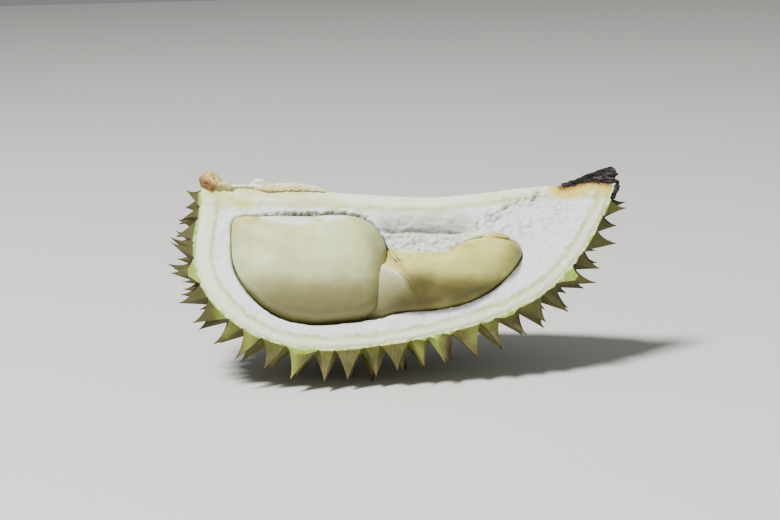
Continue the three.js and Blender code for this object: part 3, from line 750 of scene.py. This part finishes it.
# Each lump's lit colour, the darker colour of its painted shade, and the colour of its patches.
for piece, name, high, low, patch in (
        (wide, "wide", (204, 213, 160), (122, 118, 74), (204, 200, 130)),
        (narrow, "narrow", (205, 204, 118), (86, 78, 33), (196, 188, 86))):
    cream, tree, surface = tissue("flesh_cream_" + name)
    cloud = grouped(tree, mottle, Patch_Scale=75.0, Speck_Scale=600.0)
    broad = grouped(tree, mottle, Patch_Scale=30.0, Speck_Scale=240.0)
    painted_shade_share = plus(tree, seen(tree, "painted_shade"), broad["Patches"], 0.2)
    colour = washed(
        tree, tint(*high),
        (broad["Patches"], 0.5, patch),
        ("neck", 0.8, (196, 198, 156)),
        ("yolk", 0.6, (198, 186, 74)),
        (cloud["Specks"], 0.12, (170, 150, 84)),
        # painted shade over the parts turned from the light
        (ramp(tree, painted_shade_share, 0.05, 1.1), 1.0, low),
        # tan fibres and painted shade down the cleft
        ("tan", 0.85, (160, 136, 82)),
        # painted shade on flesh that lies back in the hollow
        ("depth", 0.5, (142, 122, 72)),
        ("residue", 0.85, (236, 237, 230)),
        # painted highlight along the neck's edge
        ("glint", 0.35, (240, 240, 222)))
    dull = plus(tree, seen(tree, "residue"), cloud["Patches"], 0.3)
    dull = plus(tree, dull, seen(tree, "glint"), -0.6)
    coated(tree, surface, colour, ramp(tree, dull, -0.9, 1.1), Specular_IOR_Level=0.35,
           Subsurface_Weight=0.2, Subsurface_Radius=(1.0, 0.8, 0.35), Subsurface_Scale=0.002)
    skin_fine = grouped(tree, fibres, Scale=420.0, Stretch=(0.3, 1.0, 1.0))["Height"]
    crumbs = calc(tree, "MULTIPLY", seen(tree, "residue"), cloud["Specks"])
    bumped(tree, surface, calc(tree, "ADD", skin_fine, crumbs), 0.0003, 0.55)
    piece.data.shade_smooth()
    finish_piece(piece, f"flesh_{name}_lump", "flesh", [cream], "flesh_" + name)


# ---- Seed strings ----
# Tan strings that fastened the seed to the core, drawn out down the cleft between the two lumps,
# and a yellow tab of flesh that stuck to the pith over the narrow one. All are fast at their ends.
STRINGS = [  # path over the front face, thickness
    ([[-0.6, 35, 0], [0.2, 38, 0], [1.2, 41, 0], [3.4, 44.4, 0]], 1.1),
    ([[1.6, 36.6, 0], [2.4, 39.2, 0], [3.4, 41.4, 0], [5, 43.6, 0]], 0.9),
    ([[48.4, 31.6, 0.3], [52.4, 29.8, 1.3], [57.6, 29, 1.5], [63.6, 30, 0.2]], 3.4),
]
# The first two lie on the narrow lump, so their heights are its own.
facing_mm = narrow_mm[(narrow_mm @ seam_out[FRONT]) > -3]
facing_at = over_front(facing_mm)
for spot in STRINGS[0][0] + STRINGS[1][0]:
    nearest = np.argsort(((facing_at - spot[:2]) ** 2).sum(1))[:5]
    spot[2] = (facing_mm[nearest] @ seam_out[FRONT]).max()
strings = joined([strand("string", path, thick, 0.6 * thick) for path, thick in STRINGS])
string_tan, tree, surface = tissue("string_tan")
cloud = grouped(tree, mottle, Patch_Scale=300.0, Speck_Scale=1500.0)
colour = mixed(tree, cloud["Patches"], tint(206, 202, 122), tint(190, 182, 98))
coated(tree, surface, colour, 0.6)
drawn = grouped(tree, fibres, Scale=1800.0, Stretch=(1.0, 1.0, 0.3))["Height"]
bumped(tree, surface, drawn, 0.0003, 0.8)
strings.data.shade_smooth()
finish_piece(strings, "seed_strings", "flesh", [string_tan])


# ---- Rind ----
# The tough green-brown skin, about a millimetre thick, all of it drawn up into pyramid spines that
# stand edge to edge. It is one with the pith and ends with it at the seams, where about one spine
# in eight is torn through. The valve stands on a few long spines with worn tips.
SEED = 17
SPINE_PITCH = (8.4, 13.4)
SPINE_HEIGHT = (6.9, 14.96)
FULL_SIZE_RADIUS = 66
ROW_PITCH = 0.92
STAGGER = 0.26
SPINE_WANDER = 0.13
HEIGHT_WANDER = 0.12
SPINE_LEAN = 0.11
SPINE_SWEEP = 0.55
SPINE_RINGS = 9
SPLIT_SPINES = 0.12
YOUNG_SPINES = [-88, -74, -51, 15, 24, 45]  # along the fruit, at the front seam
SPINE_SHAPE = {"Waist": 1.3, "Valley": 0.16, "Curl": 1.6, "Blunt Tip": 0.022}
SEAM_CLEARANCE = 0.7  # how far the skin stays behind the torn faces
FEET = [(7, -4), (-38, -6.5), (-11, 10)]
WORN = 1.6
VALVES = 5


def wander(n):
    wave = math.sin(n * 127.1 + SEED) * 43758.5453
    return 2 * (wave - math.floor(wave)) - 1


def size_at(sizes, r):
    return sizes[0] + (sizes[1] - sizes[0]) * math.sin(min(r / FULL_SIZE_RADIUS, 1) * math.pi / 2)


total = skin_length[-1]
spines = [(0.01, 0, 0, -1)]  # distance along the skin, angle, number, and valve, or -1 at a pole
s, row = SPINE_PITCH[0], 0
while s < total - SPINE_PITCH[0] * 0.8:
    r = skin[np.searchsorted(skin_length, s), 1]
    pitch = size_at(SPINE_PITCH, r)
    columns = max(1, math.floor(2 * math.pi * r / VALVES / pitch + 0.5))
    side = STAGGER if row % 2 else -STAGGER
    for i in range(columns * VALVES):
        n = row * 97 + i
        off_seam = math.sin(math.pi * (i % columns + 0.5) / columns)
        across = i + 0.5 + side * off_seam + SPINE_WANDER * wander(n)
        forward = s + SPINE_WANDER * pitch * wander(n + 0.37)
        spines.append((forward, FRONT - across * 72 / columns, n, i // columns))
    s += pitch * ROW_PITCH
    row += 1
spines.append((total - 0.01, 0, 0, -1))

widening = np.concatenate([[0], np.cumsum(np.diff(skin_length) / np.maximum(skin[1:, 1], 0.5))])
equator = widening[np.argmin(np.hypot(skin[:, 0], skin[:, 1] - RADIUS))]
feet, rises, leans, ball = [], [], [], []
for s, angle, n, valve in spines:
    pole = valve < 0
    i = np.searchsorted(skin_length, s)
    out = place(*skin_out[i], angle)
    round_axis = np.cross([1, 0, 0], out)
    round_axis /= np.linalg.norm(round_axis)
    forward = np.cross(out, round_axis)
    r = skin[i, 1]
    tall = 1 if pole else size_at(SPINE_HEIGHT, r) * (1 + HEIGHT_WANDER * wander(n + 0.71))
    lean = 0 if pole else SPINE_LEAN * tall
    sweep = 0 if pole else SPINE_SWEEP * tall * (2 * skin_length[i] / total - 1)
    feet.append(place(skin[i, 0], r, angle))
    rises.append(out * tall)
    leans.append(round_axis * lean * wander(n + 0.13) + forward * (lean * wander(n + 0.59) + sweep))
    polar = 2 * math.atan(math.exp(widening[i] - equator))
    ball.append(place(-math.cos(polar), math.sin(polar), angle))
feet, rises, leans, ball = (np.array(rows) for rows in (feet, rises, leans, ball))
for x, angle in FEET:
    nearest = np.argmin(np.linalg.norm(feet + rises + leans - place(x, RADIUS, angle), axis=1))
    tip_at = feet[nearest] + rises[nearest] + leans[nearest]
    low, high = laid_down([tip_at, feet[nearest]])[:, 2] * 1000
    reach = (high + WORN) / (high - low)
    rises[nearest] *= reach
    leans[nearest] *= reach

# Each spine is one corner of a net over the whole fruit, and each mesh of the net a valley.
bm = bmesh.new()
for at in ball:
    bm.verts.new(at)
bmesh.ops.convex_hull(bm, input=bm.verts)
bm.verts.index_update()
net = bpy.data.meshes.new("spine_net")
bm.to_mesh(net)
corners = np.array([[v.index for v in face.verts] for face in bm.faces])
bm.free()
middles = feet[corners].mean(1)
turn = np.degrees(np.arctan2(-middles[:, 1], -middles[:, 2]))
split = np.array([wander(n + 0.91) > 1 - 2 * SPLIT_SPINES for _, _, n, _ in spines])
for i, three in enumerate(corners):
    valves = sorted({spines[corner][3] for corner in three} - {-1})
    if len(valves) == 2 and not split[three].any():
        turn[i] = FRONT - 72 * (0 if valves == [0, VALVES - 1] else valves[1])
flat_middles = np.stack([middles[:, 0], np.hypot(middles[:, 1], middles[:, 2])], 1)
on_skin = skin[np.argmin(((flat_middles[:, None] - skin[None]) ** 2).sum(2), 1)]
rind = set_down("spine_net", net)
note(rind, "foot", laid_down(feet), "FLOAT_VECTOR")
note(rind, "rise", rises @ LIE.T / 1000, "FLOAT_VECTOR")
note(rind, "lean", leans @ LIE.T / 1000, "FLOAT_VECTOR")
note(rind, "valley", laid_down(place(on_skin[:, 0], on_skin[:, 1], turn)), "FLOAT_VECTOR", "FACE")

# The tree draws every mesh of the net's dual up into a spine, ring by ring.
spiny = bpy.data.node_groups.new("spiny_skin", "GeometryNodeTree")
spiny.interface.new_socket("Geometry", in_out="OUTPUT", socket_type="NodeSocketGeometry")
spiny.interface.new_socket("Geometry", in_out="INPUT", socket_type="NodeSocketGeometry")
for name in SPINE_SHAPE:
    spiny.interface.new_socket(name, in_out="INPUT", socket_type="NodeSocketFloat")
spiny.interface.new_socket("Skin", in_out="INPUT", socket_type="NodeSocketMaterial")
given, result = spiny.nodes.new("NodeGroupInput"), spiny.nodes.new("NodeGroupOutput")


def named(tree, name):
    return put(tree, "GeometryNodeInputNamedAttribute", {"Name": name},
               data_type="FLOAT_VECTOR").outputs[0]


def vectors(tree, operation, a, b):
    key = "Scale" if operation == "SCALE" else 1
    return put(tree, "ShaderNodeVectorMath", {0: a, key: b}, operation=operation).outputs[0]


def moved(tree, **sockets):
    return put(tree, "GeometryNodeSetPosition", sockets).outputs[0]


shape = put(spiny, "GeometryNodeDualMesh", {0: given.outputs["Geometry"]}).outputs[0]
shape = moved(spiny, Geometry=shape, Position=named(spiny, "valley"))
to_valley = vectors(spiny, "SUBTRACT", named(spiny, "valley"), named(spiny, "foot"))
top = None
for ring in range(1, SPINE_RINGS + 1):
    height = (ring / SPINE_RINGS) ** 1.15
    pull = {"Mesh": shape, "Offset Scale": 0.0, "Individual": True}
    if top:
        pull["Selection"] = top
    drawn = put(spiny, "GeometryNodeExtrudeMesh", pull, mode="FACES")
    shape, top = drawn.outputs["Mesh"], drawn.outputs["Top"]
    width = calc(spiny, "POWER", 1 - height, given.outputs["Waist"])
    pinch = calc(spiny, "MULTIPLY", given.outputs["Valley"], 1 - math.exp(-height / 0.1))
    width = calc(spiny, "MULTIPLY", width, calc(spiny, "SUBTRACT", 1.0, pinch))
    width = calc(spiny, "ADD", width, given.outputs["Blunt Tip"])
    bent = calc(spiny, "POWER", height, given.outputs["Curl"])
    ring_at = vectors(spiny, "ADD", named(spiny, "foot"), vectors(spiny, "SCALE", to_valley, width))
    ring_at = vectors(spiny, "ADD", ring_at, vectors(spiny, "SCALE", named(spiny, "rise"), height))
    ring_at = vectors(spiny, "ADD", ring_at, vectors(spiny, "SCALE", named(spiny, "lean"), bent))
    shape = moved(spiny, Geometry=shape, Selection=top, Position=ring_at)
shape = put(spiny, "GeometryNodeRealizeInstances", {0: shape}).outputs[0]
skinned = {"Geometry": shape, "Material": given.outputs["Skin"]}
spiny.links.new(put(spiny, "GeometryNodeSetMaterial", skinned).outputs[0], result.inputs[0])

rind_green, tree, surface = tissue("rind_green")
cloud = grouped(tree, mottle, Patch_Scale=110.0, Speck_Scale=1100.0)
height_mm = plus(tree, seen(tree, "above_skin"), cloud["Patches"], 2.4)
ribs = grouped(tree, fibres, Scale=900.0, Stretch=(1.0, 1.0, 0.22))["Height"]
tipness = seen(tree, "tipness")
colour = washed(
    tree, mixed(tree, cloud["Patches"], tint(84, 82, 36), tint(108, 101, 60)),
    (ramp(tree, height_mm, 7.0, 1.0), 0.6, (113, 119, 34)),
    (ramp(tree, tipness, 0.5, 0.98), 0.8, (106, 88, 40)),
    (ramp(tree, tipness, 0.88, 1.02), 1.0, (56, 46, 28)),
    (ramp(tree, ribs, 0.5, 0.72), 0.45, (140, 133, 92)),
    (ramp(tree, ribs, 0.48, 0.3), 0.5, (70, 66, 30)),
    (cloud["Specks"], 0.35, (70, 62, 34)),
    # painted shade on the spines towards both ends
    ("at_ends", 0.75, (62, 60, 20)),
    ("young", 0.7, (146, 162, 60)))
coated(tree, surface, colour, 0.62, Specular_IOR_Level=0.35)
bumped(tree, surface, ribs, 0.0006, 0.8)

rind_cut, tree, surface = tissue("rind_cut")
cloud = grouped(tree, mottle, Patch_Scale=300.0, Speck_Scale=1300.0)
height_mm = plus(tree, seen(tree, "above_skin"), cloud["Patches"], 1.5)
colour = mixed(tree, ramp(tree, height_mm, -0.2, 1.8), tint(222, 226, 178), tint(134, 158, 46))
colour = washed(tree, colour, (cloud["Specks"], 0.3, (150, 170, 70)))
coated(tree, surface, colour, 0.55)
bumped(tree, surface, cloud["Patches"], 0.0004, 0.6)

grow = rind.modifiers.new("spines", "NODES")
grow.node_group = spiny
sizes = {**SPINE_SHAPE, "Skin": rind_green}
for item in spiny.interface.items_tree:
    if item.in_out == "INPUT" and item.name in sizes:
        grow[item.identifier] = sizes[item.name]
settled(rind)
for name in ("foot", "rise", "lean", "valley"):
    if name in rind.data.attributes:
        rind.data.attributes.remove(rind.data.attributes[name])
cut(rind, wedge(-SEAM_CLEARANCE), "INTERSECT")
cut(rind, husk_body(RIND))
square = np.array([[-0.3, -0.3, 0], [0.3, -0.3, 0], [0.3, 0.3, 0], [-0.3, 0.3, 0]])
deep = np.array([0, 0, -0.1])
cut(rind, closed_shape("ground", [in_fruit(square + deep), in_fruit(square)]))

rind_mm = in_fruit(points_of(rind))
above = -depth_under_skin(rind_mm)
note(rind, "above_skin", above)
radius = np.hypot(rind_mm[:, 1], rind_mm[:, 2])
behind_seam = rind_mm @ seam_out[FRONT]
young = np.max([np.exp(-(((rind_mm[:, 0] - x) / 3.2) ** 2)) for x in YOUNG_SPINES], 0)
note(rind, "young", young * fade(behind_seam, -9, -4) * fade(radius, 55, 62))
# Painted shade: darker spines towards both ends of the fruit.
note(rind, "at_ends", fade(np.abs(rind_mm[:, 0]), 45, 95))
full = np.array([size_at(SPINE_HEIGHT, r) for r in np.maximum(radius - 10, 0)])
note(rind, "tipness", np.clip(above / full, 0, 1.1))
face_mid = np.empty(len(rind.data.polygons) * 3, np.float32)
rind.data.polygons.foreach_get("center", face_mid)
face_out = np.empty_like(face_mid)
rind.data.polygons.foreach_get("normal", face_out)
face_mid, face_out = in_fruit(face_mid.reshape(-1, 3)), face_out.reshape(-1, 3) @ LIE
sliced = np.zeros(len(face_mid), bool)
for side in (FRONT, BACK):
    at_cut = np.abs(face_mid @ seam_out[side] + SEAM_CLEARANCE) < 0.05
    sliced |= at_cut & (face_out @ seam_out[side] > 0.99)
inside = depth_under_skin(face_mid) > 0.6
finish_piece(rind, "spiny_rind", "rind", [rind_green, rind_cut], "rind")
rind.data.polygons.foreach_set("material_index", (sliced | inside).astype(np.int32))
rind.data.shade_smooth()
rind.data.set_sharp_from_angle(angle=math.radians(38))


# ---- Stalk scar ----
# The corky tan knob that the stalk broke off, grown into the core's end. A tapering tail of the
# same cork runs a little way down the ridge.
SCAR_AT, SCAR_SIZE = np.array([-96.6, 0.4, 1.2]), np.array([5.1, 4.7, 4.9])
SCAR_TAIL = [  # x, y, z, radius
    (-97, 0, 1.6, 4.2), (-94, -0.3, 1.4, 4.0), (-91.2, -0.8, 0.6, 3.0), (-88.4, -1.2, -0.7, 1.9),
    (-83.5, -1.5, -1.8, 0.8)]
SCAR_GRAIN = 0.0004


def circle(around):
    """Points round the fruit's axis, 1 mm from it."""
    turn = 2 * math.pi * np.arange(around) / around
    return np.stack([0 * turn, np.cos(turn), np.sin(turn)], 1)


tilts = math.pi * np.arange(1, 24) / 24
ball = [circle(48) * math.sin(tilt) - [math.cos(tilt), 0, 0] for tilt in tilts]
scar = closed_shape("scar", [ring * SCAR_SIZE + SCAR_AT for ring in ball],
                    SCAR_AT - [SCAR_SIZE[0], 0, 0], SCAR_AT + [SCAR_SIZE[0], 0, 0])
tail = [circle(20) * size + [x, y, z] for x, y, z, size in SCAR_TAIL]
cut(scar, closed_shape("tail", tail), "UNION")
regrained(scar, SCAR_GRAIN)
mm = roughened(scar, -1.9, 0.9, (2.2, 5, 2, (1, 1, 1), 57), (0.6, 1.5, 3, (1, 1, 1), 52))
note(scar, "shade", fade(mm[:, 2] + 0.8 * mm[:, 0], -73, -79))
note(scar, "pale_tail", fade(mm[:, 0], -94, -88))

scar_cork, tree, surface = tissue("scar_cork")
cloud = grouped(tree, mottle, Patch_Scale=420.0, Speck_Scale=1500.0)
colour = washed(
    tree, mixed(tree, cloud["Patches"], tint(206, 186, 110), tint(186, 146, 74)),
    ("shade", 0.9, (118, 78, 36)),
    ("pale_tail", 0.7, (222, 212, 158)),
    (cloud["Specks"], 0.5, (222, 204, 156)))
coated(tree, surface, colour, 0.82)
cork = grouped(tree, fibres, Scale=1300.0, Stretch=(1.0, 1.0, 0.5))["Height"]
bumped(tree, surface, cork, 0.0007, 0.9)
scar.data.shade_smooth()
finish_piece(scar, "stalk_knob", "stalk_scar", [scar_cork], "stalk_scar")


# ---- Dried tip ----
# The black, brittle remains of the blossom end: a ragged fin of dried fibres that stands on the
# last stretch of the core, thickest over the pole.
CRUST_TOP = [[92, 0.2], [97.5, -0.8], [104, -4.2], [110, -6.2], [116, -8.2], [119.2, -8.9],
             [121.2, -6.4]]
CRUST_SUNK, CRUST_THICKNESS = 1.3, (1.8, 6)
CRUST_GRAIN = 0.0003
SLIVERS = [  # path over the front face, width, thickness
    ([[112, -4, -2], [117, -7, -1.4], [121.4, -8.4, -1]], 2.2, 1.2),
    ([[108, -3, -3], [114, -6.4, -2.6], [118.6, -8.8, -2.4]], 2.6, 1.2),
    ([[101, -1, -1], [105.6, -4, -0.6], [109, -6, -0.6]], 2.0, 1.0),
    ([[94, 0.6, -0.6], [98, -1, 0], [102.4, -3.4, -0.2]], 1.6, 1.2),
    ([[115, -2, -1], [119.4, -4.2, -0.6], [122.8, -5.2, -0.8]], 2.4, 1.2),
    ([[115, 0.4, -1.4], [119.6, -1.2, -1], [122.8, -2.6, -1]], 2.2, 1.2),
    ([[116.6, 10, -3], [120, 6, -2], [121.6, 1.4, -1.4], [122.8, -2, -1.4]], 3.0, 1.8),
    ([[117.6, 6, -5], [121.2, 4, -4.4], [122.9, 1, -4]], 2.6, 1.4),
]
crust = [fin(CRUST_TOP, np.add(BURNT_CREST, (0, CRUST_SUNK)), CRUST_THICKNESS)]
crust += [strand("sliver", *sliver) for sliver in SLIVERS]
tip = regrained(joined(crust), CRUST_GRAIN)
roughened(tip, -0.9, 0.45, (0.9, 2.6, 4, (3.4, 1, 1), 61), (0.35, 0.9, 3, (4, 1, 1), 62))

tip_black, tree, surface = tissue("tip_black")
cloud = grouped(tree, mottle, Patch_Scale=500.0, Speck_Scale=1500.0)
dry = grouped(tree, fibres, Scale=900.0, Stretch=(0.22, 1.0, 1.0))["Height"]
colour = mixed(tree, cloud["Patches"], tint(26, 23, 24), tint(46, 41, 39))
# Painted highlight: pale grey along the fibres' raised ridges.
colour = washed(tree, colour, (ramp(tree, dry, 0.5, 0.7), 0.7, (118, 112, 106)))
coated(tree, surface, colour, 0.85, Specular_IOR_Level=0.15)
bumped(tree, surface, dry, 0.0012, 1.0)
tip.data.shade_smooth()
finish_piece(tip, "dried_blossom", "dried_tip", [tip_black], "dried_tip")


# ---- Floor, light and camera ----
# A pale floor, one large soft light from the upper left with a weak one opposite, and the view
# along the fruit's own front, a little from above.
floor_shape = bpy.data.meshes.new("floor")
floor_shape.from_pydata([(-3, -3, 0), (3, -3, 0), (3, 3, 0), (-3, 3, 0)], [], [(0, 1, 2, 3)])
floor = set_down("floor", floor_shape)
floor_pale, tree, surface = tissue("floor_pale")
coated(tree, surface, tint(214, 212, 206), 0.9)
floor_shape.materials.append(floor_pale)

world = bpy.data.worlds.new("studio")
world.use_nodes = True
tree = world.node_tree
feed(tree, tree.nodes["Background"], {"Color": tint(216, 220, 222), "Strength": 0.34})
bpy.context.scene.world = world
LAMPS = {"key": ((-0.9, -1.0, 2.2), 0.5, 142), "fill": ((0.9, -0.8, 0.5), 0.9, 1.2)}
LIT_AT = Vector((0, 0, 0.06))
for name, (place_m, size, watts) in LAMPS.items():
    lamp = bpy.data.lights.new(name, "AREA")
    lamp.size, lamp.energy = size, watts
    light = set_down(name, lamp)
    light.location = place_m
    light.rotation_euler = (LIT_AT - light.location).to_track_quat("-Z", "Y").to_euler()

DISTANCE, ELEVATION = 1000, math.radians(12)
IMAGE_WIDTH, FOCAL_PIXELS, SENSOR_MM = 780, 1850, 36
LOOK_AT = np.array([0, 0, -42])
ahead = np.array([0, math.cos(ELEVATION), -math.sin(ELEVATION)])
upward = np.array([0, math.sin(ELEVATION), math.cos(ELEVATION)])
axes = np.stack([[1, 0, 0], upward, -ahead], 1)
eye = bpy.data.cameras.new("camera")
eye.sensor_width = SENSOR_MM
eye.lens = SENSOR_MM * FOCAL_PIXELS / IMAGE_WIDTH
camera = set_down("camera", eye)
turned = Matrix((LIE @ axes).tolist()).to_4x4()
turned.translation = Vector(laid_down(LOOK_AT - DISTANCE * ahead))
camera.matrix_world = turned
bpy.context.scene.camera = camera
